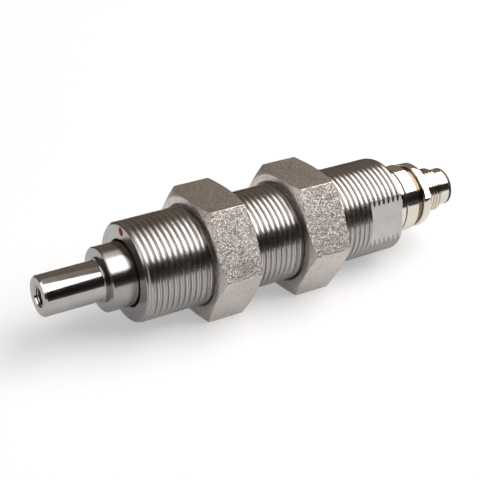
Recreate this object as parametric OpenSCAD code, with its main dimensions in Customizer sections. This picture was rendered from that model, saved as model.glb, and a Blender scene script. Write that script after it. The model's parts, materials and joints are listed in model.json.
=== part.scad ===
// Cantilever tension sensor with a threaded mounting body
// All sizes are in millimetres. X runs along the axis from the journal to the connector,
// Z points up from the flats that the sensor lies on, and the origin is the middle of the
// bearing seat, where the load acts.

/* [Measuring shaft] */
// Diameter of the bearing seat
journal_d = 10; // [8:0.5:12]
// Length of the bearing seat from its end face to the bearing abutment
journal_len = 14.8; // [10:0.2:24]
// Chamfer at the tip of the journal, and radius at its root
journal_edge = 0.4; // [0.2:0.1:0.8]
// Height of the bearing abutment above the seat
abutment_h = 0.55; // [0.3:0.05:1]
// Length of the bearing abutment
abutment_len = 0.6; // [0.3:0.1:1.5]
// Chamfer at the front edge of the shoulder
shoulder_edge = 0.25; // [0.1:0.05:0.6]
// Length of the shoulder in front of the body
shoulder_len = 6.6; // [3:0.2:15]
// Length of the shoulder inside the body
shoulder_depth = 6; // [5:0.5:10]
// Core diameter of the threaded hole in the tip
tip_hole_d = 4.2; // [3.2:0.1:5]
// Depth of the threaded hole in the tip
tip_hole_depth = 10; // [6:0.5:13]
// Diameter of the countersink of the threaded hole
tip_sink_d = 5.4; // [5:0.1:6.5]
// Diameter of the round neck between the shoulder and the beam
neck_d = 11; // [9:0.5:12]
// Length of the neck
neck_len = 3; // [2:0.5:6]
// Length of the bending beam
beam_len = 30; // [26:1:32]
// Gap between the bending beam and the bore, which holds the gauges and their leads
beam_gap = 3; // [2.6:0.1:4]
// Width of the bending beam
beam_w = 10; // [8:0.5:10.5]
// Thickness of the beam at its thin bending places, beside the two holes
flexure_t = 1.7; // [1.2:0.1:2.5]
// Distance between the two holes of the beam
beam_hole_pitch = 17; // [14:0.5:19]
// Height of the slot that joins the two holes
beam_slot_h = 3; // [2:0.5:5]
// Length of the root disc of the shaft
root_len = 5; // [4:0.5:7]
// Step from the height of the beam down to the stud behind the root
stud_step = 1.7; // [1.4:0.1:2.4]

/* [Threaded body] */
// Outer diameter of the mounting thread
thread_d = 25; // [24.6:0.1:26]
// Length of the body
body_len = 75.5; // [74:0.5:90]
// Wall between the thread and the bore
body_wall = 4; // [3.4:0.1:4.4]
// Chamfer at the front end of the thread
front_chamfer = 0.6; // [0.3:0.1:1]
// Chamfer at the rear end of the thread
rear_chamfer = 0.4; // [0.2:0.1:1]
// Radial gap between the shoulder and the body, which stops an overload
overload_gap = 0.5; // [0.3:0.05:0.9]
// Thickness of the web that carries the shaft
web_len = 4; // [3:0.5:6]
// Depth of the two wrench flats at the rear, below the thread
flat_depth = 1.5; // [1:0.1:2]
// Length of the wrench flats
flats_len = 10.3; // [6:0.5:12]
// Turn of the sensor in its nuts, away from their flats
sensor_turn = 5.5; // [0:0.5:15]

/* [Seal and mark] */
// Distance of the shaft seal behind the front face
seal_depth = 1.2; // [0.5:0.1:2]
// Width of the shaft seal
seal_len = 2.4; // [1:0.2:3]
// Diameter of the dot that marks the measuring direction
mark_d = 2.2; // [1.5:0.1:2.4]
// Distance of the dot from the chamfer of the thread
mark_edge = 0.15; // [0.1:0.05:0.5]
// Depth of the recess of the dot
mark_depth = 0.4; // [0.2:0.1:1]

/* [Mounting nuts] */
// Wall of a nut between its thread and the middle of a flat
nut_wall = 2.5; // [2.2:0.1:4.5]
// Thickness of a nut
nut_len = 11.7; // [8:0.1:16]
// Distance from the flats to the flat ring on the faces of a nut
nut_ring_inset = 0.2; // [0.1:0.1:0.9]
// Angle of the chamfer at the corners of a nut
nut_chamfer_angle = 22; // [15:1:35]
// Depth of the countersink at both ends of the nut thread
nut_sink = 0.6; // [0.3:0.1:0.8]
// Distance from the front face of the body to the front nut
front_nut_at = 17.5; // [10:0.1:20]
// Distance from the front nut to the rear nut
nut_spacing = 14.1; // [8:0.1:16]

/* [Gauges and wiring] */
// Length of a strain gauge
gauge_len = 6; // [4:0.5:7]
// Width of a strain gauge
gauge_w = 5; // [4:0.5:7]
// Thickness of a strain gauge with its cover
gauge_t = 0.25; // [0.15:0.05:0.3]
// Diameter of a gauge lead
lead_d = 0.7; // [0.5:0.1:0.8]
// Distance of each gauge lead from the middle
lead_y = 1.2; // [0.8:0.1:2]
// Diameter of a wire to the connector
wire_d = 0.8; // [0.6:0.1:1]
// Diameter of the locating pin
dowel_d = 2; // [1.5:0.5:2]
// Length of the locating pin
dowel_len = 5; // [4:0.5:6]
// Wall of the shaft nut
shaft_nut_wall = 1.8; // [1.4:0.1:1.9]
// Length of the shaft nut
shaft_nut_len = 3; // [2:0.5:4]
// Width of the spanner slots in the shaft nut
spanner_slot = 1.6; // [1:0.1:2]
// Length of the board spacer
spacer_len = 3.6; // [3:0.2:5]
// Wall of the board spacer
spacer_wall = 1; // [0.8:0.1:1.3]
// Radial gap between the terminal board and its chamber
board_gap = 0.2; // [0.1:0.05:0.4]
// Thickness of the terminal board
board_t = 1.2; // [0.8:0.2:1.6]
// Thread diameter of the board screw
board_screw_d = 2.5; // [2:0.5:2.5]
// Length of the board screw below its head
board_screw_len = 10; // [8:0.5:11]
// Head diameter of the board screw
board_head_d = 4; // [3.4:0.1:4.2]
// Head height of the board screw
board_head_h = 1.4; // [1:0.1:2]
// Length of a trimming resistor
resistor_len = 2; // [1.6:0.1:3]
// Width of a trimming resistor
resistor_w = 1.2; // [0.8:0.1:1.6]
// Height of a trimming resistor
resistor_h = 0.6; // [0.4:0.1:1]
// Distance from the rim of the board to a resistor
resistor_inset = 1; // [0.6:0.1:1.5]

/* [Connector] */
// Step from the wrench flats of the body in to the lock ring and the adapter head
adapter_inset = 2; // [1:0.1:2.5]
// Step from the adapter head in to its thread inside the body
adapter_ledge = 1; // [0.8:0.1:1.4]
// Wall of the adapter around the spigot of the connector
adapter_wall = 1.1; // [0.9:0.1:1.6]
// Length of the adapter inside the body
adapter_depth = 8; // [6:0.5:9]
// Length of the lock ring
lock_ring_len = 3.2; // [2:0.1:5]
// Thickness of the flat seal under the adapter head
flat_seal_t = 0.4; // [0.3:0.1:0.8]
// Length of the adapter head
adapter_head_len = 3.8; // [3:0.1:6]
// Small chamfer on the turned rings
ring_edge = 0.15; // [0.1:0.05:0.4]
// Step from the connector flange in to the gasket
gasket_inset = 0.5; // [0.3:0.1:1.2]
// Thickness of the gasket
gasket_t = 2; // [1:0.1:2.5]
// Chamfer on the edges of the gasket
gasket_edge = 0.4; // [0.1:0.1:0.4]
// Length of the threaded spigot
spigot_len = 5.2; // [4:0.1:6]
// Step from the adapter head in to the connector flange
flange_inset = 0.3; // [0.1:0.1:0.6]
// Length of the connector flange
flange_len = 2.5; // [2:0.1:3.5]
// Rounding of the edges of the flange
flange_round = 0.3; // [0.1:0.1:0.8]
// Length of the full round rim of the flange, at the gasket
flange_rim = 0.5; // [0.4:0.1:1]
// Depth of the two wrench flats of the flange, in front of its rim
flange_flat_depth = 0.9; // [0.4:0.1:1.2]
// Turn of the wrench flats of the flange, as it was screwed in
flange_turn = 43; // [0:1:90]
// Outer diameter of the plug thread
plug_thread_d = 11.9; // [11.6:0.1:12]
// Length of the plug thread
plug_thread_len = 6.7; // [5:0.1:8]
// Step from the crest of the plug thread in to the plain collar in front of it
collar_step = 0.9; // [0.6:0.1:1]
// Length of the plain collar
collar_len = 2.5; // [2:0.1:5]
// Wall of the connector shell at its collar
shell_wall = 0.45; // [0.3:0.05:0.6]
// Wall of the sleeve of the contact carrier
sleeve_wall = 0.3; // [0.25:0.05:0.35]
// Length of the lip of the contact carrier at the end of the shell
lip_len = 0.8; // [0.3:0.1:1.2]
// Depth of the plug cavity
cavity_depth = 7; // [5:0.2:8]
// Length of the solid block of the contact carrier
block_len = 4; // [3:0.2:5]
// Diameter of the circle of the contact pins
pin_circle_d = 5.66; // [5.5:0.02:5.8]
// Diameter of a contact pin
pin_d = 1; // [0.8:0.05:1.1]
// Wall that the solder cup adds to the radius of a pin
cup_wall = 0.15; // [0.1:0.05:0.3]
// Width and height of the coding key in the plug cavity
key_w = 0.8; // [0.6:0.1:1]
// Distance from the end of the shell to the pin tips
pin_recess = 1.4; // [1:0.1:2]
// Length of a contact pin behind the contact carrier
pin_tail = 1; // [0.6:0.1:2]

/* [Fits] */
// Radial clearance of fixed pieces in their seats
fit = 0.02; // [0.01:0.01:0.04]
// Radial clearance of the mounting nuts on the thread
nut_clearance = 0.05; // [0.03:0.01:0.08]
// Radial clearance of wires in their holes
wire_clearance = 0.25; // [0.1:0.05:0.3]

/* [Hidden] */
$fn = 96;

// Stations along the axis, from the tip of the journal to the end of the plug
x_tip = -journal_len / 2;
x_seat_end = journal_len / 2;
x_shoulder = x_seat_end + abutment_len;
x_face = x_shoulder + shoulder_len;
x_rear = x_face + body_len;
x_neck = x_face + shoulder_depth;
x_beam = x_neck + neck_len;
x_root = x_beam + beam_len;
x_web = x_root + root_len;
x_chamber = x_web + web_len;
x_spacer = x_chamber + shaft_nut_len;
x_board = x_spacer + spacer_len;
x_board_rear = x_board + board_t;
x_adapter = x_rear - adapter_depth;
x_flat_seal = x_rear + lock_ring_len;
x_head = x_flat_seal + flat_seal_t;
x_gasket = x_head + adapter_head_len;
x_flange = x_gasket + gasket_t;
x_plug_thread = x_flange + flange_len;
x_collar = x_plug_thread + plug_thread_len;
x_shell_end = x_collar + collar_len;
x_end = x_shell_end + lip_len;
x_cavity = x_end - cavity_depth;
x_block = x_cavity - block_len;
x_pin_rear = x_block - pin_tail;
x_front_nut = x_face + front_nut_at;
x_rear_nut = x_front_nut + nut_len + nut_spacing;

// Diameters of the body, which the shaft in it and the nuts on it follow
overcut = 1;
overlap = 0.5;
bore_d = thread_d - 2 * body_wall;
face_edge_d = thread_d - 2 * front_chamfer;
flats_af = thread_d - 2 * flat_depth;
nut_bore_d = thread_d + 2 * nut_clearance;
nut_af = thread_d + 2 * nut_wall;
mark_r = (face_edge_d - mark_d) / 2 - mark_edge;
mark_dome = 0.08;

// Measuring shaft
shoulder_d = bore_d - 2 * overload_gap;
abutment_d = journal_d + 2 * abutment_h;
root_d = bore_d - 2 * fit;
beam_h = bore_d - 2 * beam_gap;
beam_hole_d = beam_h - 2 * flexure_t;
stud_d = beam_h - 2 * stud_step;
spacer_bore_d = stud_d + 2 * fit;
shaft_nut_d = stud_d + 2 * shaft_nut_wall;
x_stud_end = x_spacer + overlap;
drill_point = tip_hole_d / 2 * tan(30);
front_hole_x = x_beam + (beam_len - beam_hole_pitch) / 2;
rear_hole_x = front_hole_x + beam_hole_pitch;
gauge_z = beam_h / 2 + gauge_t / 2;
lead_z = beam_h / 2 + gauge_t + lead_d / 2 + fit;
lead_hole_d = lead_d + 2 * wire_clearance;
dowel_r = (stud_d + root_d) / 4;

// Connector, from the adapter in the body to the contact carrier in the shell
adapter_d = flats_af - 2 * adapter_inset;
adapter_thread_d = adapter_d - 2 * adapter_ledge;
chamber_d = adapter_thread_d + 2 * fit;
board_d = chamber_d - 2 * board_gap;
spigot_d = adapter_thread_d - 2 * adapter_wall;
spigot_bore_d = spigot_d + 2 * fit;
flange_d = adapter_d - 2 * flange_inset;
flange_af = flange_d - 2 * flange_flat_depth;
gasket_d = flange_d - 2 * gasket_inset;
collar_d = plug_thread_d - 2 * collar_step;
shell_bore_d = collar_d - 2 * shell_wall;
carrier_d = shell_bore_d - 2 * fit;
cavity_d = carrier_d - 2 * sleeve_wall;

steel = [0.66, 0.65, 0.63];
ground_steel = [0.72, 0.71, 0.70];
nut_nickel = [0.62, 0.59, 0.55];
plated = [0.84, 0.82, 0.78];
bronze = [0.45, 0.33, 0.22];
black = [0.07, 0.07, 0.08];
gold = [0.83, 0.68, 0.32];

// A body turned about the X axis, from points that give station and radius
module turned(points) {
    rotate([0, 90, 0])
        rotate_extrude()
            polygon([for (p = points) [p[1], p[0]]]);
}

// A round bar or hole along X between two stations
module bar(x1, x2, d) {
    translate([x1, 0, 0])
        rotate([0, 90, 0])
            cylinder(h = x2 - x1, d = d);
}

// A cone along X between two stations
module cone(x1, x2, d1, d2) {
    translate([x1, 0, 0])
        rotate([0, 90, 0])
            cylinder(h = x2 - x1, d1 = d1, d2 = d2);
}

// A plain turned ring with a bore and small chamfers on its outer edges
module edged_ring(x1, x2, d, bore, edge) {
    turned([[x1, bore / 2],
            [x1, d / 2 - edge],
            [x1 + edge, d / 2],
            [x2 - edge, d / 2],
            [x2, d / 2 - edge],
            [x2, bore / 2]]);
}

// The sensor lies turned in its nuts, so its body and inner pieces share this turn
module as_turned() {
    rotate([-sensor_turn, 0, 0])
        children();
}

// Threaded body

module threaded_body() {
    color(steel)
        as_turned()
            difference() {
                turned([[x_face, 0],
                        [x_face, face_edge_d / 2],
                        [x_face + front_chamfer, thread_d / 2],
                        [x_rear - rear_chamfer, thread_d / 2],
                        [x_rear, thread_d / 2 - rear_chamfer],
                        [x_rear, 0]]);
                bar(x_face - overcut, x_web, bore_d);
                bar(x_web - overcut, x_chamber + overcut, spacer_bore_d);
                bar(x_chamber, x_rear + overcut, chamber_d);
                lead_holes(x_web - overcut, x_chamber + overcut);
                dowel_hole(x_web - overcut, x_web + dowel_len / 2);
                wrench_flats();
                translate([0, 0, mark_r])
                    bar(x_face - overcut, x_face + mark_depth, mark_d);
            }
}

module wrench_flats() {
    for (side = [-1, 1])
        translate([x_rear - flats_len, side * (flats_af + thread_d) / 2 - thread_d / 2, -thread_d])
            cube([flats_len + overcut, thread_d, 2 * thread_d]);
}

// Holes for the four gauge leads, through the root of the shaft and through the web
module lead_holes(x1, x2) {
    for (y = [-lead_y, lead_y], z = [-lead_z, lead_z])
        translate([0, y, z])
            bar(x1, x2, lead_hole_d);
}

module dowel_hole(x1, x2) {
    translate([0, dowel_r, 0])
        bar(x1, x2, dowel_d + 2 * fit);
}

// Measuring shaft: journal, shoulder, bending beam, root disc and stud in one piece

module measuring_shaft() {
    color(ground_steel)
        as_turned()
            difference() {
                union() {
                    turned(nose_profile());
                    translate([x_beam, -beam_w / 2, -beam_h / 2])
                        cube([beam_len + overlap, beam_w, beam_h]);
                    bar(x_root, x_web, root_d);
                    bar(x_web - overlap, x_stud_end, stud_d);
                }
                tip_hole();
                beam_slot();
                lead_holes(x_root - overcut, x_web + overcut);
                dowel_hole(x_web - dowel_len / 2, x_web + overcut);
                bar(x_board_rear - board_screw_len - overlap, x_stud_end + overcut, board_screw_d + 2 * fit);
            }
}

// Outline of the turned nose, from the tip to the neck
function nose_profile() = concat(
    [[x_tip, 0],
     [x_tip, journal_d / 2 - journal_edge],
     [x_tip + journal_edge, journal_d / 2]],
    [for (a = [0 : 30 : 90])
        [x_seat_end - journal_edge * (1 - sin(a)), journal_d / 2 + journal_edge * (1 - cos(a))]],
    [[x_seat_end, abutment_d / 2],
     [x_shoulder, abutment_d / 2],
     [x_shoulder, shoulder_d / 2 - shoulder_edge],
     [x_shoulder + shoulder_edge, shoulder_d / 2],
     [x_neck, shoulder_d / 2],
     [x_neck, neck_d / 2],
     [x_beam + overlap, neck_d / 2],
     [x_beam + overlap, 0]]);

// Threaded hole in the tip, with its countersink and drill point
module tip_hole() {
    bar(x_tip - overcut, x_tip + tip_hole_depth, tip_hole_d);
    cone(x_tip - overcut, x_tip + (tip_sink_d - tip_hole_d) / 2, tip_sink_d + 2 * overcut, tip_hole_d);
    cone(x_tip + tip_hole_depth, x_tip + tip_hole_depth + drill_point, tip_hole_d, 0);
}

// Two round holes joined by a slot leave four thin bending places
module beam_slot() {
    for (x = [front_hole_x, rear_hole_x])
        translate([x, 0, 0])
            rotate([90, 0, 0])
                cylinder(h = beam_w + 2 * overcut, d = beam_hole_d, center = true);
    translate([front_hole_x, -beam_w / 2 - overcut, -beam_slot_h / 2])
        cube([beam_hole_pitch, beam_w + 2 * overcut, beam_slot_h]);
}

// Soft ring that closes the overload gap
module front_seal() {
    x1 = x_face + seal_depth;
    x2 = x1 + seal_len;
    r1 = shoulder_d / 2 + fit;
    r2 = bore_d / 2 - fit;
    color(black)
        turned([[x1, r1], [x1 + (r2 - r1) / 2, (r1 + r2) / 2], [x1, r2], [x2, r2], [x2, r1]]);
}

// Enamelled dot in a shallow recess, slightly domed
module force_mark() {
    color([0.66, 0.06, 0.09])
        as_turned()
            translate([0, 0, mark_r])
                turned([[x_face - mark_dome, 0],
                        [x_face - mark_dome / 2, mark_d / 3],
                        [x_face, mark_d / 2 - fit],
                        [x_face + mark_depth, mark_d / 2 - fit],
                        [x_face + mark_depth, 0]]);
}

// Fixing of the shaft

module locating_pin() {
    color(ground_steel)
        as_turned()
            translate([0, dowel_r, 0])
                bar(x_web - dowel_len / 2, x_web + dowel_len / 2, dowel_d);
}

module shaft_nut() {
    color(steel)
        as_turned()
            difference() {
                bar(x_chamber, x_spacer, shaft_nut_d);
                bar(x_chamber - overcut, x_spacer + overcut, spacer_bore_d);
                translate([x_spacer - shaft_nut_len / 2, -shaft_nut_d, -spanner_slot / 2])
                    cube([shaft_nut_len, 2 * shaft_nut_d, spanner_slot]);
            }
}

// Gauges and wiring

// A strain gauge over one hole of the beam, on its top or bottom face
module gauge(x, side) {
    color([0.80, 0.62, 0.25])
        as_turned()
            translate([x, 0, side * gauge_z])
                cube([gauge_len, gauge_w, gauge_t], center = true);
}

// A lead from a gauge to the terminal board
module lead(x, y_side, z_side, tint) {
    color(tint)
        as_turned()
            translate([0, y_side * lead_y, z_side * lead_z])
                bar(x, x_board, lead_d);
}

module board_spacer() {
    color([0.90, 0.88, 0.82])
        difference() {
            bar(x_spacer, x_board, spacer_bore_d + 2 * spacer_wall);
            bar(x_spacer - overcut, x_board + overcut, spacer_bore_d);
        }
}

module terminal_board() {
    color([0.08, 0.35, 0.18])
        difference() {
            bar(x_board, x_board_rear, board_d);
            bar(x_board - overcut, x_board_rear + overcut, board_screw_d + 2 * fit);
        }
}

module board_screw() {
    color(plated)
        as_turned()
            difference() {
                union() {
                    bar(x_board_rear - board_screw_len, x_board_rear + overlap, board_screw_d);
                    bar(x_board_rear, x_board_rear + board_head_h, board_head_d);
                }
                translate([x_board_rear + board_head_h / 3, 0, 0])
                    rotate([0, 90, 0])
                        cylinder(h = board_head_h, d = board_head_d / 2, $fn = 6);
            }
}

// A trimming resistor on the rear face of the board
module resistor(angle) {
    color([0.12, 0.12, 0.13])
        as_turned()
            rotate([angle, 0, 0])
                translate([x_board_rear, -resistor_len / 2, board_d / 2 - resistor_inset - resistor_w])
                    cube([resistor_h, resistor_len, resistor_w]);
}

// Places its children on one of the four contact positions
module at_contact(i) {
    rotate([90 * i, 0, 0])
        translate([0, 0, pin_circle_d / 2])
            children();
}

module wire(i, tint) {
    color(tint)
        at_contact(i)
            bar(x_board_rear, x_pin_rear, wire_d);
}

// Connector

module adapter_lock_ring() {
    color(plated)
        edged_ring(x_rear, x_flat_seal, adapter_d, chamber_d, ring_edge);
}

module adapter_seal() {
    color(black)
        edged_ring(x_flat_seal, x_head, adapter_d - 4 * ring_edge, chamber_d, fit);
}

module connector_adapter() {
    color(plated) {
        difference() {
            union() {
                edged_ring(x_head, x_gasket, adapter_d, spigot_bore_d, ring_edge);
                bar(x_adapter, x_head + overlap, adapter_thread_d);
            }
            bar(x_adapter - overcut, x_gasket + overcut, spigot_bore_d);
        }
    }
}

module connector_gasket() {
    color(bronze)
        edged_ring(x_gasket, x_flange, gasket_d, spigot_bore_d, gasket_edge);
}

module connector_shell() {
    color(plated)
        difference() {
            turned(shell_profile());
            bar(x_flange - spigot_len - overcut, x_end, shell_bore_d);
            flange_flats();
        }
}

module flange_flats() {
    rotate([-flange_turn, 0, 0])
        for (side = [-1, 1])
            translate([x_flange + flange_rim, side * (flange_af + flange_d) / 2 - flange_d / 2, -flange_d])
                cube([flange_len, flange_d, 2 * flange_d]);
}

// Outline of the shell: spigot, flange with rounded edges, plug thread and collar
function shell_profile() = concat(
    [[x_flange - spigot_len, 0],
     [x_flange - spigot_len, spigot_d / 2],
     [x_flange, spigot_d / 2]],
    [for (a = [0 : 22.5 : 90])
        [x_flange + flange_round * (1 - cos(a)), flange_d / 2 - flange_round * (1 - sin(a))]],
    [for (a = [90 : -22.5 : 0])
        [x_plug_thread - flange_round * (1 - cos(a)), flange_d / 2 - flange_round * (1 - sin(a))]],
    [[x_plug_thread, plug_thread_d / 2],
     [x_collar - collar_step, plug_thread_d / 2],
     [x_collar, collar_d / 2],
     [x_shell_end, collar_d / 2],
     [x_shell_end, 0]]);

// Insulating insert: a solid block, a thin sleeve with a coding key, and a lip over the shell
module contact_carrier() {
    color(black) {
        difference() {
            turned([[x_block, 0],
                    [x_block, carrier_d / 2],
                    [x_shell_end, carrier_d / 2],
                    [x_shell_end, collar_d / 2],
                    [x_end, collar_d / 2],
                    [x_end, cavity_d / 2],
                    [x_cavity, cavity_d / 2],
                    [x_cavity, 0]]);
            for (i = [0 : 3])
                at_contact(i)
                    bar(x_block - overcut, x_cavity + overcut, pin_d + 2 * fit);
        }
        rotate([45, 0, 0])
            translate([x_cavity - fit, -key_w / 2, cavity_d / 2 - key_w / 2])
                cube([cavity_depth - lip_len, key_w, key_w / 2 + sleeve_wall / 2]);
    }
}

// A contact pin with a solder cup at its rear and a round tip
module contact_pin(i) {
    x_pin_tip = x_end - pin_recess;
    color(gold)
        at_contact(i)
            turned(concat(
                [[x_pin_rear, 0],
                 [x_pin_rear, pin_d / 2 + cup_wall],
                 [x_block, pin_d / 2 + cup_wall],
                 [x_block, pin_d / 2]],
                [for (a = [0 : 30 : 90])
                    [x_pin_tip - pin_d / 2 * (1 - sin(a)), pin_d / 2 * cos(a)]]));
}

// Mounting nuts

// A hexagon nut that lies on one of its flats, with chamfered corners and a countersunk bore
module clamp_nut(x) {
    corner_r = nut_af / 2 / cos(30);
    ring_r = nut_af / 2 - nut_ring_inset;
    drop = (corner_r + overcut - ring_r) * tan(nut_chamfer_angle);
    sink_d = nut_bore_d + 2 * (nut_sink + overcut);
    color(nut_nickel)
        difference() {
            intersection() {
                translate([x, 0, 0])
                    rotate([0, 90, 0])
                        rotate([0, 0, 30])
                            cylinder(h = nut_len, r = corner_r, $fn = 6);
                turned([[x, 0],
                        [x, ring_r],
                        [x + drop, corner_r + overcut],
                        [x + nut_len - drop, corner_r + overcut],
                        [x + nut_len, ring_r],
                        [x + nut_len, 0]]);
            }
            bar(x - overcut, x + nut_len + overcut, nut_bore_d);
            cone(x - overcut, x + nut_sink, sink_d, nut_bore_d);
            cone(x + nut_len - nut_sink, x + nut_len + overcut, nut_bore_d, sink_d);
        }
}

threaded_body();
measuring_shaft();
front_seal();
force_mark();
locating_pin();
shaft_nut();
gauge(front_hole_x, 1);  // gauge_top_front
gauge(rear_hole_x, 1);  // gauge_top_rear
gauge(front_hole_x, -1);  // gauge_bottom_front
gauge(rear_hole_x, -1);  // gauge_bottom_rear
lead(front_hole_x, -1, 1, "red");  // lead_top_left
lead(rear_hole_x, 1, 1, "black");  // lead_top_right
lead(front_hole_x, -1, -1, "green");  // lead_bottom_left
lead(rear_hole_x, 1, -1, "white");  // lead_bottom_right
board_spacer();
terminal_board();
board_screw();
resistor(0);  // zero_resistor
resistor(120);  // span_resistor
resistor(240);  // temperature_resistor
wire(0, "brown");  // supply_plus_wire
wire(1, "blue");  // supply_minus_wire
wire(2, "white");  // signal_plus_wire
wire(3, "black");  // signal_minus_wire
adapter_lock_ring();
adapter_seal();
connector_adapter();
connector_gasket();
connector_shell();
contact_carrier();
contact_pin(0);  // contact_pin_1
contact_pin(1);  // contact_pin_2
contact_pin(2);  // contact_pin_3
contact_pin(3);  // contact_pin_4
clamp_nut(x_front_nut);  // front_nut
clamp_nut(x_rear_nut);  // rear_nut
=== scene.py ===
import json
import math

import bmesh
import bpy
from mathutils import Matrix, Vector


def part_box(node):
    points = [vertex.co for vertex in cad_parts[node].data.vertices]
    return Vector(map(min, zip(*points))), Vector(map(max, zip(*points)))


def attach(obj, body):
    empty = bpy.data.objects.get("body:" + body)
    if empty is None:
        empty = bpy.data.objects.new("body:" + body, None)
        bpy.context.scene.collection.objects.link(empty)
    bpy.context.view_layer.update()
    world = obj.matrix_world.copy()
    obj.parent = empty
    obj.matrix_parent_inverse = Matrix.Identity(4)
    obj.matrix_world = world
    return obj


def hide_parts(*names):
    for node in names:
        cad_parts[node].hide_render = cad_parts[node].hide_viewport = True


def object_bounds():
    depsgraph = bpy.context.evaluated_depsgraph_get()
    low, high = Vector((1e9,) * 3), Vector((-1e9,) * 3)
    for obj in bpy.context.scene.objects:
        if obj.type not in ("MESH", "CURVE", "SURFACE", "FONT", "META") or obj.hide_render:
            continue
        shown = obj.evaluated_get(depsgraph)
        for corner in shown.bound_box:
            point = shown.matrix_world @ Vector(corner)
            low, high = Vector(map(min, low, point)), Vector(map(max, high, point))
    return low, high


mm = 0.001
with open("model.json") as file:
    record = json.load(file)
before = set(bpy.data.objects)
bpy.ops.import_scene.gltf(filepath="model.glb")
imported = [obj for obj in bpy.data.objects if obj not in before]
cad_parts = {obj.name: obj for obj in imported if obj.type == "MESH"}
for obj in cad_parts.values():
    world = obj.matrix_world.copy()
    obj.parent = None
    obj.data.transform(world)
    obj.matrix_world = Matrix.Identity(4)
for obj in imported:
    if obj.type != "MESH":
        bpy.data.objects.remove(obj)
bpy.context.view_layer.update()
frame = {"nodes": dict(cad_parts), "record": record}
print("frame loaded:", len(frame["nodes"]), "nodes")


# small helpers for node trees

def addNode(tree, kind, **settings):
    node = tree.nodes.new(kind)
    for key, value in settings.items():
        setattr(node, key, value)
    return node


def plug(tree, value, socket):  # links a socket, or sets a plain value
    if isinstance(value, bpy.types.NodeSocket):
        tree.links.new(value, socket)
    else:
        socket.default_value = value


def calc(tree, operation, *values):  # one Math node
    node = addNode(tree, "ShaderNodeMath", operation=operation)
    for value, socket in zip(values, node.inputs):
        plug(tree, value, socket)
    return node.outputs[0]


def vecCalc(tree, operation, *values):  # one Vector Math node
    node = addNode(tree, "ShaderNodeVectorMath", operation=operation)
    for value, socket in zip(values, node.inputs):
        plug(tree, value, socket)
    return node.outputs["Value" if operation == "LENGTH" else "Vector"]


def splitPlace(tree, place):
    node = addNode(tree, "ShaderNodeSeparateXYZ")
    plug(tree, place, node.inputs[0])
    return node.outputs


# materials

def newMaterial(name):
    material = bpy.data.materials.new(name)
    material.use_nodes = True
    tree = material.node_tree
    return material, tree, tree.nodes["Principled BSDF"]


def objectPlace(tree):
    return addNode(tree, "ShaderNodeTexCoord").outputs["Object"]


def noise(tree, place, scale, detail, rough=0.5):
    node = addNode(tree, "ShaderNodeTexNoise")
    plug(tree, place, node.inputs["Vector"])
    node.inputs["Scale"].default_value = scale
    node.inputs["Detail"].default_value = detail
    node.inputs["Roughness"].default_value = rough
    return node.outputs["Fac"]


def spread(tree, value, low, high, fromLow=0.3, fromHigh=0.7):  # one range of values to another
    node = addNode(tree, "ShaderNodeMapRange")
    plug(tree, value, node.inputs["Value"])
    for name, number in (("From Min", fromLow), ("From Max", fromHigh),
                         ("To Min", low), ("To Max", high)):
        node.inputs[name].default_value = number
    return node.outputs["Result"]


def blendTones(tree, factor, dark, light):  # inputs 6 and 7 of a Mix node are its two colours
    node = addNode(tree, "ShaderNodeMix", data_type="RGBA")
    plug(tree, factor, node.inputs[0])
    node.inputs[6].default_value = (*dark, 1)
    node.inputs[7].default_value = (*light, 1)
    return node.outputs[2]


def bump(tree, height, distance):
    node = addNode(tree, "ShaderNodeBump")
    plug(tree, height, node.inputs["Height"])
    node.inputs["Distance"].default_value = distance
    return node.outputs["Normal"]


# what all metals share: noise detail, part of the tool marks in the tone, noise values that span
# dark to light, and the turn that stretches a highlight across the tool marks
metal = {"detail": 3, "ringShare": 0.6, "toneFrom": 0.35, "toneTo": 0.65, "highlightTurn": 0.25,
         "grainDetail": 2, "grainRough": 0.6}


def metalTone(tree, shader, value, look):
    factor = spread(tree, value, 0, 1, metal["toneFrom"], metal["toneTo"])
    plug(tree, blendTones(tree, factor, look["dark"], look["light"]), shader.inputs["Base Color"])
    shader.inputs["Metallic"].default_value = 1


def turnedMetal(name, look):  # tool marks run round the X axis, on barrels and on end faces
    material, tree, shader = newMaterial(name)
    place = objectPlace(tree)
    fromAxis = vecCalc(tree, "LENGTH", vecCalc(tree, "MULTIPLY", place, (0, 1, 1)))
    rings = addNode(tree, "ShaderNodeTexNoise", noise_dimensions="1D")
    plug(tree, calc(tree, "ADD", splitPlace(tree, place)["X"], fromAxis), rings.inputs["W"])
    rings.inputs["Scale"].default_value = look["ringScale"]
    rings.inputs["Detail"].default_value = metal["detail"]
    marks = rings.outputs["Fac"]
    cloud = noise(tree, place, look["cloudScale"], metal["detail"])
    cloudPart = calc(tree, "MULTIPLY", cloud, 1 - metal["ringShare"])
    metalTone(tree, shader, calc(tree, "MULTIPLY_ADD", marks, metal["ringShare"], cloudPart), look)
    plug(tree, spread(tree, cloud, *look["roughness"]), shader.inputs["Roughness"])
    plug(tree, bump(tree, marks, look["ringDepth"]), shader.inputs["Normal"])
    around = vecCalc(tree, "CROSS_PRODUCT", (1, 0, 0), place)
    plug(tree, vecCalc(tree, "NORMALIZE", around), shader.inputs["Tangent"])
    shader.inputs["Anisotropic"].default_value = look["anisotropy"]
    shader.inputs["Anisotropic Rotation"].default_value = metal["highlightTurn"]
    return material


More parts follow.
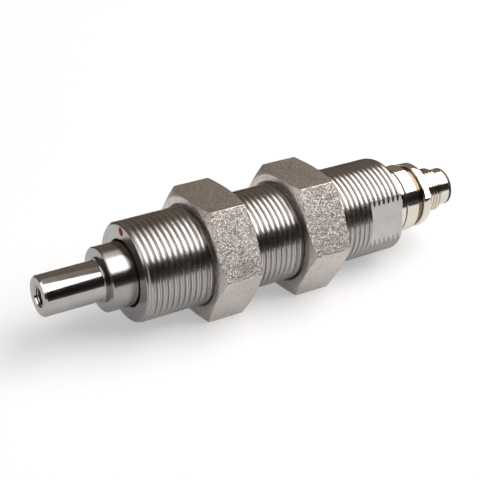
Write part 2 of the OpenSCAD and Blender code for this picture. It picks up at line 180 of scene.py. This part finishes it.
def grainMetal(name, look):  # blasted or milled metal without a direction
    material, tree, shader = newMaterial(name)
    place = objectPlace(tree)
    grain = noise(tree, place, look["grainScale"], metal["grainDetail"], metal["grainRough"])
    cloud = noise(tree, place, look["cloudScale"], metal["detail"])
    cloudPart = calc(tree, "MULTIPLY", cloud, 1 - look["grainShare"])
    metalTone(tree, shader, calc(tree, "MULTIPLY_ADD", grain, look["grainShare"], cloudPart), look)
    plug(tree, spread(tree, grain, *look["roughness"]), shader.inputs["Roughness"])

    # small facets, each leaning its own way
    cells = addNode(tree, "ShaderNodeTexVoronoi")
    plug(tree, place, cells.inputs["Vector"])
    cells.inputs["Scale"].default_value = look["facetScale"]
    tilt = look["facetTilt"]
    lean = vecCalc(tree, "MULTIPLY_ADD", cells.outputs["Color"], (tilt,) * 3, (-tilt / 2,) * 3)
    upright = addNode(tree, "ShaderNodeNewGeometry").outputs["Normal"]
    leaning = vecCalc(tree, "NORMALIZE", vecCalc(tree, "ADD", upright, lean))
    plug(tree, leaning, shader.inputs["Normal"])
    return material


plain = {"scale": 2500, "detail": 3, "depth": 0.01 * mm}


def plainStuff(name, look):  # rubber, plastic, enamel, film and wire insulation
    material, tree, shader = newMaterial(name)
    grain = noise(tree, objectPlace(tree), plain["scale"], plain["detail"])
    tone = blendTones(tree, spread(tree, grain, 0, 1), look["dark"], look["light"])
    plug(tree, tone, shader.inputs["Base Color"])
    plug(tree, spread(tree, grain, *look["roughness"]), shader.inputs["Roughness"])
    plug(tree, bump(tree, grain, plain["depth"]), shader.inputs["Normal"])
    shader.inputs["Coat Weight"].default_value = look.get("coat", 0)
    shader.inputs["Specular IOR Level"].default_value = look.get("shine", 0.5)
    return material


turnedLooks = {
    "turned_steel": dict(
        dark=(0.35, 0.335, 0.325), light=(0.45, 0.435, 0.425), roughness=(0.22, 0.28),
        anisotropy=0.6, ringScale=5000, ringDepth=0.0004 * mm, cloudScale=120),
    "turned_shoulder": dict(
        dark=(0.30, 0.29, 0.285), light=(0.38, 0.37, 0.36), roughness=(0.17, 0.22),
        anisotropy=0.6, ringScale=5000, ringDepth=0.0004 * mm, cloudScale=120),
    "ground_steel": dict(
        dark=(0.39, 0.38, 0.37), light=(0.46, 0.45, 0.445), roughness=(0.1, 0.16),
        anisotropy=0.4, ringScale=14000, ringDepth=0.0006 * mm, cloudScale=220),
    "plated_brass": dict(
        dark=(0.65, 0.61, 0.53), light=(0.75, 0.71, 0.64), roughness=(0.08, 0.15),
        anisotropy=0.3, ringScale=9000, ringDepth=0.0008 * mm, cloudScale=300),
    "bronze": dict(
        dark=(0.15, 0.115, 0.085), light=(0.21, 0.165, 0.125), roughness=(0.12, 0.22),
        anisotropy=0.3, ringScale=6000, ringDepth=0.0008 * mm, cloudScale=500),
    "gold_plate": dict(
        dark=(0.78, 0.56, 0.22), light=(0.92, 0.70, 0.32), roughness=(0.15, 0.25),
        anisotropy=0.2, ringScale=9000, ringDepth=0.0005 * mm, cloudScale=400),
}
grainLooks = {
    "nut_nickel": dict(
        dark=(0.385, 0.35, 0.325), light=(0.73, 0.68, 0.645), roughness=(0.26, 0.34),
        grainScale=3700, facetScale=7600, facetTilt=0.32, cloudScale=160, grainShare=0.85),
    "milled_flat": dict(
        dark=(0.57, 0.55, 0.535), light=(0.68, 0.66, 0.64), roughness=(0.4, 0.5),
        grainScale=5000, facetScale=4000, facetTilt=0.03, cloudScale=300, grainShare=0.5),
}
plainLooks = {
    "black_rubber": dict(
        dark=(0.010, 0.010, 0.011), light=(0.022, 0.021, 0.022), roughness=(0.55, 0.75)),
    "red_enamel": dict(
        dark=(0.19, 0.001, 0.004), light=(0.27, 0.002, 0.007), roughness=(0.3, 0.45), shine=0.08),
    "black_plastic": dict(
        dark=(0.010, 0.010, 0.011), light=(0.020, 0.020, 0.021), roughness=(0.4, 0.5)),
    "gauge_film": dict(
        dark=(0.45, 0.25, 0.04), light=(0.58, 0.36, 0.08), roughness=(0.25, 0.35), coat=0.3),
    "board_green": dict(
        dark=(0.010, 0.085, 0.030), light=(0.020, 0.12, 0.045), roughness=(0.3, 0.4), coat=0.4),
    "spacer_plastic": dict(
        dark=(0.66, 0.63, 0.55), light=(0.76, 0.73, 0.65), roughness=(0.4, 0.5)),
    "resistor_black": dict(
        dark=(0.012, 0.012, 0.013), light=(0.03, 0.03, 0.032), roughness=(0.4, 0.6)),
}
wireTones = {
    "wire_red": ((0.42, 0.012, 0.008), (0.52, 0.022, 0.014)),
    "wire_black": ((0.008, 0.008, 0.008), (0.018, 0.018, 0.018)),
    "wire_green": ((0.012, 0.15, 0.025), (0.022, 0.20, 0.04)),
    "wire_white": ((0.70, 0.70, 0.67), (0.80, 0.80, 0.77)),
    "wire_brown": ((0.09, 0.032, 0.010), (0.13, 0.050, 0.018)),
    "wire_blue": ((0.010, 0.035, 0.32), (0.018, 0.055, 0.42)),
}
for wireName, (dark, light) in wireTones.items():
    plainLooks[wireName] = dict(dark=dark, light=light, roughness=(0.35, 0.5))

materials = {}
for makeMaterial, looks in ((turnedMetal, turnedLooks), (grainMetal, grainLooks),
                            (plainStuff, plainLooks)):
    for name, look in looks.items():
        materials[name] = makeMaterial(name, look)

slotOf = {part["node"]: part["material_slot"] for part in frame["record"]["subparts"]}
for nodeName, nodeObject in frame["nodes"].items():
    nodeObject.data.materials.clear()
    nodeObject.data.materials.append(materials[slotOf[nodeName]])
print("materials made:", len(materials))


# copies of CAD nodes, merged to clean solids

def newObject(name, data):
    thing = bpy.data.objects.new(name, data)
    bpy.context.scene.collection.objects.link(thing)
    return thing


mergeReach = 0.0005 * mm


def cleanCopy(nodeName, pieceName):
    mesh = frame["nodes"][nodeName].data.copy()
    work = bmesh.new()
    work.from_mesh(mesh)
    bmesh.ops.remove_doubles(work, verts=work.verts, dist=mergeReach)
    bmesh.ops.dissolve_degenerate(work, edges=work.edges, dist=mergeReach)
    work.to_mesh(mesh)
    openEdges = sum(not edge.is_manifold for edge in work.edges)
    work.free()
    if "custom_normal" in mesh.attributes:
        mesh.attributes.remove(mesh.attributes["custom_normal"])
    mesh.name = pieceName
    print(pieceName, "copied, open edges:", openEdges)
    return newObject(pieceName, mesh)


def bakePiece(piece):  # the evaluated shape becomes the piece's own mesh
    graph = bpy.context.evaluated_depsgraph_get()
    mesh = bpy.data.meshes.new_from_object(piece.evaluated_get(graph), depsgraph=graph)
    piece.modifiers.clear()
    piece.data = mesh
    mesh.name = piece.name


def smoothPiece(piece, angle):
    piece.data.shade_smooth()
    piece.data.set_sharp_from_angle(angle=math.radians(angle))


def finishPiece(piece, nodeName, bodyName):
    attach(piece, bodyName)
    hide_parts(nodeName)


# screw threads

threadInputs = (
    ("Solid", "Geometry"), ("Start", "Float"), ("End", "Float"), ("Pitch", "Float"),
    ("Crest Radius", "Float"), ("Root Radius", "Float"), ("Sleeve Radius", "Float"),
    ("Crest Share", "Float"), ("Groove Arc", "Float"), ("Steps", "Int"), ("Material", "Material"),
)
winding = {"profilePoints": 13, "leadTurns": 2, "sleeveSides": 64, "nearly": 0.0001,
           "merge": 0.001 * mm}


def threadTree(name, inside):
    # cuts a thread into a solid: inside, a helical rod is taken from the solid itself, and
    # outside, it is taken from a sleeve, and what is left of the sleeve from the solid
    tree = bpy.data.node_groups.new(name, "GeometryNodeTree")
    sockets = {}
    for label, kind in threadInputs:
        sockets[label] = tree.interface.new_socket(
            label, in_out="INPUT", socket_type="NodeSocket" + kind)
    tree.interface.new_socket("Solid", in_out="OUTPUT", socket_type="NodeSocketGeometry")
    given = addNode(tree, "NodeGroupInput").outputs
    result = addNode(tree, "NodeGroupOutput")

    length = calc(tree, "SUBTRACT", given["End"], given["Start"])
    fullTurns = calc(tree, "CEIL", calc(tree, "DIVIDE", length, given["Pitch"]))
    turns = calc(tree, "ADD", fullTurns, 2 * winding["leadTurns"])
    lead = calc(tree, "MULTIPLY", given["Pitch"], winding["leadTurns"])
    first = calc(tree, "SUBTRACT", given["Start"], lead)
    grid = addNode(tree, "GeometryNodeMeshGrid")
    grid.inputs["Size X"].default_value = 1
    grid.inputs["Size Y"].default_value = 1
    allSteps = calc(tree, "MULTIPLY", turns, given["Steps"])
    plug(tree, calc(tree, "ADD", allSteps, 1), grid.inputs["Vertices X"])
    grid.inputs["Vertices Y"].default_value = winding["profilePoints"]

    # X of the grid is the helix, Y crosses half a crest, the arc of a groove and half a crest
    spot = splitPlace(tree, addNode(tree, "GeometryNodeInputPosition").outputs[0])
    turn = calc(tree, "MULTIPLY", calc(tree, "ADD", spot["X"], 0.5), turns)
    across = calc(tree, "ADD", spot["Y"], 0.5)
    crestEnd = 1 / (winding["profilePoints"] - 1)
    grooveEnd = 1 - crestEnd
    arcPlace = spread(tree, across, -1, 1, crestEnd, grooveEnd)
    sweep = calc(tree, "MULTIPLY", arcPlace, given["Groove Arc"])
    crests = calc(tree, "ADD", spread(tree, across, -0.5, 0, 0, crestEnd),
                  spread(tree, across, 0, 0.5, grooveEnd, 1))
    aside = calc(tree, "DIVIDE", calc(tree, "SINE", sweep), calc(tree, "SINE", given["Groove Arc"]))
    grooveShare = calc(tree, "SUBTRACT", 1, given["Crest Share"])
    halfGroove = calc(tree, "MULTIPLY", grooveShare, 0.5)
    shift = calc(tree, "ADD", calc(tree, "MULTIPLY_ADD", aside, halfGroove, 0.5),
                 calc(tree, "MULTIPLY", crests, given["Crest Share"]))
    edgeCosine = calc(tree, "COSINE", given["Groove Arc"])
    depth = calc(tree, "DIVIDE", calc(tree, "SUBTRACT", calc(tree, "COSINE", sweep), edgeCosine),
                 calc(tree, "SUBTRACT", 1, edgeCosine))
    fall = calc(tree, "SUBTRACT", given["Root Radius"], given["Crest Radius"])
    radius = calc(tree, "MULTIPLY_ADD", depth, fall, given["Crest Radius"])
    station = calc(tree, "MULTIPLY_ADD", calc(tree, "ADD", turn, shift), given["Pitch"], first)
    angle = calc(tree, "MULTIPLY", turn, 2 * math.pi)

    # past the first and before the last groove all points meet on the axis, which closes the rod
    along = calc(tree, "ADD", turn, across)
    tooEarly = calc(tree, "LESS_THAN", along, 1 + winding["nearly"])
    tooLate = calc(tree, "GREATER_THAN", along, calc(tree, "SUBTRACT", turns, winding["nearly"]))
    kept = calc(tree, "SUBTRACT", 1, calc(tree, "MAXIMUM", tooEarly, tooLate))
    startTip = calc(tree, "ADD", first, given["Pitch"])
    endTip = calc(tree, "MULTIPLY_ADD", turns, given["Pitch"], first)
    tip = calc(tree, "ADD", calc(tree, "MULTIPLY", tooEarly, startTip),
               calc(tree, "MULTIPLY", tooLate, endTip))
    radius = calc(tree, "MULTIPLY", radius, kept)
    helix = addNode(tree, "ShaderNodeCombineXYZ")
    plug(tree, calc(tree, "MULTIPLY_ADD", station, kept, tip), helix.inputs["X"])
    plug(tree, calc(tree, "MULTIPLY", radius, calc(tree, "COSINE", angle)), helix.inputs["Y"])
    plug(tree, calc(tree, "MULTIPLY", radius, calc(tree, "SINE", angle)), helix.inputs["Z"])
    wound = addNode(tree, "GeometryNodeSetPosition")
    plug(tree, grid.outputs["Mesh"], wound.inputs["Geometry"])
    plug(tree, helix.outputs[0], wound.inputs["Position"])
    rod = addNode(tree, "GeometryNodeMergeByDistance")
    plug(tree, wound.outputs[0], rod.inputs["Geometry"])
    rod.inputs["Distance"].default_value = winding["merge"]

    def takeAway(solid, tool):
        node = addNode(tree, "GeometryNodeMeshBoolean", operation="DIFFERENCE", solver="MANIFOLD")
        plug(tree, solid, node.inputs["Mesh 1"])
        plug(tree, tool, node.inputs["Mesh 2"])
        return node.outputs["Mesh"]

    cutter = rod.outputs[0]
    if not inside:
        sleeve = addNode(tree, "GeometryNodeMeshCylinder")
        sleeve.inputs["Vertices"].default_value = winding["sleeveSides"]
        plug(tree, given["Sleeve Radius"], sleeve.inputs["Radius"])
        plug(tree, length, sleeve.inputs["Depth"])
        middle = addNode(tree, "ShaderNodeCombineXYZ")
        plug(tree, calc(tree, "MULTIPLY_ADD", length, 0.5, given["Start"]), middle.inputs["X"])
        laid = addNode(tree, "GeometryNodeTransform")
        plug(tree, sleeve.outputs["Mesh"], laid.inputs["Geometry"])
        plug(tree, middle.outputs[0], laid.inputs["Translation"])
        laid.inputs["Rotation"].default_value = (0, math.pi / 2, 0)
        cutter = takeAway(laid.outputs[0], cutter)
    real = addNode(tree, "GeometryNodeRealizeInstances")
    plug(tree, takeAway(given["Solid"], cutter), real.inputs[0])
    paint = addNode(tree, "GeometryNodeSetMaterial")
    plug(tree, real.outputs[0], paint.inputs["Geometry"])
    plug(tree, given["Material"], paint.inputs["Material"])
    plug(tree, paint.outputs[0], result.inputs[0])
    return tree, sockets


threadTrees = {
    False: threadTree("outsideThread", False),
    True: threadTree("insideThread", True),
}


def cutThread(piece, inside, look, start, end, material):
    tree, sockets = threadTrees[inside]
    modifier = piece.modifiers.new("thread", "NODES")
    modifier.node_group = tree
    values = {"Start": start, "End": end, "Pitch": look["pitch"], "Crest Radius": look["crest"],
              "Root Radius": look["root"], "Crest Share": look["crestShare"],
              "Groove Arc": math.radians(look["arc"]), "Steps": look["steps"], "Material": material}
    if not inside:
        values["Sleeve Radius"] = look["sleeve"]
    for label, value in values.items():
        modifier[sockets[label].identifier] = value
    before = len(piece.data.polygons)
    bakePiece(piece)
    print(piece.name, "threaded:", before, "to", len(piece.data.polygons), "faces")
    smoothPiece(piece, look["sharp"])


body = {"pitch": 1.5 * mm, "crest": 12.46 * mm, "root": 11.88 * mm, "crestShare": 0.34, "arc": 58,
        "sleeve": 14 * mm, "margin": 1 * mm, "steps": 72, "sharp": 32,
        "flatAt": 11 * mm, "flatReach": 0.08 * mm, "flatLean": 0.1}
bodyLow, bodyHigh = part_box("threaded_body")
bodyPiece = cleanCopy("threaded_body", "threadedBody")
cutThread(bodyPiece, False, body, bodyLow[0] - body["margin"], bodyHigh[0] + body["margin"],
          materials["turned_steel"])
bodyPiece.data.materials.append(materials["milled_flat"])
for face in bodyPiece.data.polygons:  # the two wrench flats were milled after the thread
    offset = face.center.dot(face.normal) - body["flatAt"]
    if abs(face.normal.x) < body["flatLean"] and abs(offset) < body["flatReach"]:
        face.material_index = 1
        face.use_smooth = False
finishPiece(bodyPiece, "threaded_body", "sensor")

shell = {"pitch": 1 * mm, "crest": 5.92 * mm, "root": 5.35 * mm, "crestShare": 0.3, "arc": 55,
         "sleeve": 7 * mm, "steps": 64, "sharp": 26, "undercut": 2.75 * mm, "length": 6.4 * mm}
shellPiece = cleanCopy("connector_shell", "connectorShell")
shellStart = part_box("connector_gasket")[1][0] + shell["undercut"]
cutThread(shellPiece, False, shell, shellStart, shellStart + shell["length"],
          materials["plated_brass"])
finishPiece(shellPiece, "connector_shell", "sensor")

shaft = {"pitch": 0.8 * mm, "crest": 2.48 * mm, "root": 2.05 * mm, "crestShare": 0.15, "arc": 45,
         "steps": 32, "ahead": 1 * mm, "deep": 8 * mm, "sharp": 32,
         "groundTo": 7.35 * mm, "frontLean": -0.9}
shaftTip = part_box("measuring_shaft")[0][0]
shaftPiece = cleanCopy("measuring_shaft", "measuringShaft")
cutThread(shaftPiece, True, shaft, shaftTip - shaft["ahead"], shaftTip + shaft["deep"],
          materials["ground_steel"])
shaftPiece.data.materials.append(materials["turned_shoulder"])
for face in shaftPiece.data.polygons:  # the journal is ground, the rest and the front faces turned
    if face.center.x > shaft["groundTo"] or face.normal.x < shaft["frontLean"]:
        face.material_index = 1
finishPiece(shaftPiece, "measuring_shaft", "sensor")


# mounting nuts with slightly broken edges

nut = {"edge": 0.12 * mm, "segments": 2, "angle": 15, "planar": 0.4, "sharp": 14}
for nodeName, pieceName, bodyName in (("front_nut", "frontNut", "front_clamp"),
                                      ("rear_nut", "rearNut", "rear_clamp")):
    nutPiece = cleanCopy(nodeName, pieceName)
    work = bmesh.new()
    work.from_mesh(nutPiece.data)
    bmesh.ops.dissolve_limit(work, angle_limit=math.radians(nut["planar"]),
                             verts=work.verts, edges=work.edges)
    work.to_mesh(nutPiece.data)
    work.free()
    rounding = nutPiece.modifiers.new("edges", "BEVEL")
    rounding.width = nut["edge"]
    rounding.segments = nut["segments"]
    rounding.limit_method = "ANGLE"
    rounding.angle_limit = math.radians(nut["angle"])
    bakePiece(nutPiece)
    smoothPiece(nutPiece, nut["sharp"])
    finishPiece(nutPiece, nodeName, bodyName)
print("nuts done")


# floor, studio and camera

def newProp(name, work, material):
    mesh = bpy.data.meshes.new(name)
    work.to_mesh(mesh)
    work.free()
    mesh.materials.append(material)
    return newObject(name, mesh)


floorLook = {"radius": 3.9, "sides": 64, "litTone": (0.84, 0.85, 0.86),
             "seenTone": (0.58, 0.58, 0.58), "seenGlow": 0.4, "metalShare": 0.5,
             "roughness": 0.9, "shine": 0.1}
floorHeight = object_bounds()[0].z
floorMaterial, floorTree, floorShader = newMaterial("floorPaper")
rays = addNode(floorTree, "ShaderNodeLightPath").outputs
straight = calc(floorTree, "MAXIMUM", rays["Is Camera Ray"], rays["Is Transmission Ray"])
mirrored = calc(floorTree, "MULTIPLY", rays["Is Glossy Ray"], floorLook["metalShare"])
seen = calc(floorTree, "MAXIMUM", straight, mirrored)
plug(floorTree, blendTones(floorTree, seen, floorLook["litTone"], floorLook["seenTone"]),
     floorShader.inputs["Base Color"])
plug(floorTree, calc(floorTree, "MULTIPLY", seen, floorLook["seenGlow"]),
     floorShader.inputs["Emission Strength"])
floorShader.inputs["Emission Color"].default_value = (1, 1, 1, 1)
floorShader.inputs["Roughness"].default_value = floorLook["roughness"]
floorShader.inputs["Specular IOR Level"].default_value = floorLook["shine"]
floorMaterial.cycles.emission_sampling = "NONE"
work = bmesh.new()
bmesh.ops.create_circle(work, cap_ends=True, segments=floorLook["sides"],
                        radius=floorLook["radius"])
floor = newProp("studioFloor", work, floorMaterial)
floor.location.z = floorHeight

# the dark studio above the horizon: metal reflects it, but no camera sees it and it shades nothing
roomLook = {"radius": 4.0, "sides": 48, "rim": 1, "back": (0.24, 0.192, 0.15),
            "front": (0.018, 0.016, 0.015), "frontAt": -1.0, "backAt": 1.5}
roomMaterial, roomTree, _ = newMaterial("studioWall")
roomTree.nodes.clear()
roomGlow = addNode(roomTree, "ShaderNodeEmission")
roomDepth = splitPlace(roomTree, objectPlace(roomTree))["Y"]
backShare = spread(roomTree, roomDepth, 0, 1, roomLook["frontAt"], roomLook["backAt"])
plug(roomTree, blendTones(roomTree, backShare, roomLook["front"], roomLook["back"]),
     roomGlow.inputs["Color"])
plug(roomTree, roomGlow.outputs[0],
     addNode(roomTree, "ShaderNodeOutputMaterial").inputs["Surface"])
work = bmesh.new()
bmesh.ops.create_uvsphere(work, u_segments=roomLook["sides"], v_segments=roomLook["sides"],
                          radius=roomLook["radius"])
rimHeight = roomLook["radius"] * math.sin(math.radians(roomLook["rim"]))
below = [vert for vert in work.verts if vert.co.z < rimHeight]
bmesh.ops.delete(work, geom=below, context="VERTS")
room = newProp("studioRoom", work, roomMaterial)

# a dark bench round the white paper, which only the metal sees too
benchLook = {"lift": 0.5 * mm, "paperLow": (-0.15, -0.11), "paperHigh": (0.30, 0.11)}
reach = floorLook["radius"]
corners = []
work = bmesh.new()
for (lowX, lowY), (highX, highY) in (((-reach, -reach), (reach, reach)),
                                     (benchLook["paperLow"], benchLook["paperHigh"])):
    for x, y in ((lowX, lowY), (highX, lowY), (highX, highY), (lowX, highY)):
        corners.append(work.verts.new((x, y, floorHeight + benchLook["lift"])))
for side in range(4):
    after = (side + 1) % 4
    work.faces.new((corners[side], corners[after], corners[after + 4], corners[side + 4]))
bench = newProp("studioBench", work, roomMaterial)
for prop in (room, bench):
    prop.visible_camera = False
    prop.visible_diffuse = False
    prop.visible_shadow = False

# lamps: centre, turn, width and length in metres, brightness that a mirror would show, tint
softBoxes = {
    "overheadBox": dict(centre=(2.295, -0.898, 2.0), turn=(0, 0, -32.5), size=(3.56, 3.45),
                        glow=4.5, tint=(1, 0.97, 0.955)),
    "edgeStrip": dict(centre=(0.80, 0.68, 2.0), turn=(0, 0, -32.5), size=(0.62, 2.4),
                      glow=0.22, tint=(1, 0.97, 0.95)),
    "sideStrip": dict(centre=(1.06, 0.55, 2.01), turn=(0, 0, -9), size=(0.5, 1.35),
                      glow=1.1, tint=(1, 0.97, 0.95)),
    "leftBox": dict(centre=(-2.98, 0.42, 1.09), turn=(0, 70, 172), size=(1.7, 2.4),
                    glow=2.3, tint=(1, 0.98, 0.96)),
}
for boxName, box in softBoxes.items():
    lamp = bpy.data.lights.new(boxName, "AREA")
    lamp.shape = "RECTANGLE"
    lamp.size, lamp.size_y = box["size"]
    lamp.energy = box["glow"] * math.pi * box["size"][0] * box["size"][1]
    lamp.color = box["tint"]
    holder = newObject(boxName, lamp)
    holder.location = box["centre"]
    holder.rotation_euler = [math.radians(angle) for angle in box["turn"]]

worldLook = {"litTone": (0.08, 0.08, 0.08), "seenTone": (1, 1, 1)}
world = bpy.data.worlds.new("studioWorld")
world.use_nodes = True
worldTree = world.node_tree
worldSeen = addNode(worldTree, "ShaderNodeLightPath").outputs["Is Camera Ray"]
plug(worldTree, blendTones(worldTree, worldSeen, worldLook["litTone"], worldLook["seenTone"]),
     worldTree.nodes["Background"].inputs["Color"])
bpy.context.scene.world = world

cameraView = {"place": (-94.01 * mm, -221.92 * mm, 139.73 * mm),
              "turn": (62.057, -1.036, -31.903), "lens": 89.07, "sensor": 36, "near": 0.01}
cameraData = bpy.data.cameras.new("photoCamera")
cameraData.lens = cameraView["lens"]
cameraData.sensor_width = cameraView["sensor"]
cameraData.clip_start = cameraView["near"]
camera = newObject("photoCamera", cameraData)
camera.location = cameraView["place"]
camera.rotation_euler = [math.radians(angle) for angle in cameraView["turn"]]
bpy.context.scene.camera = camera
bpy.context.scene.view_settings.view_transform = "Standard"
print("studio ready")
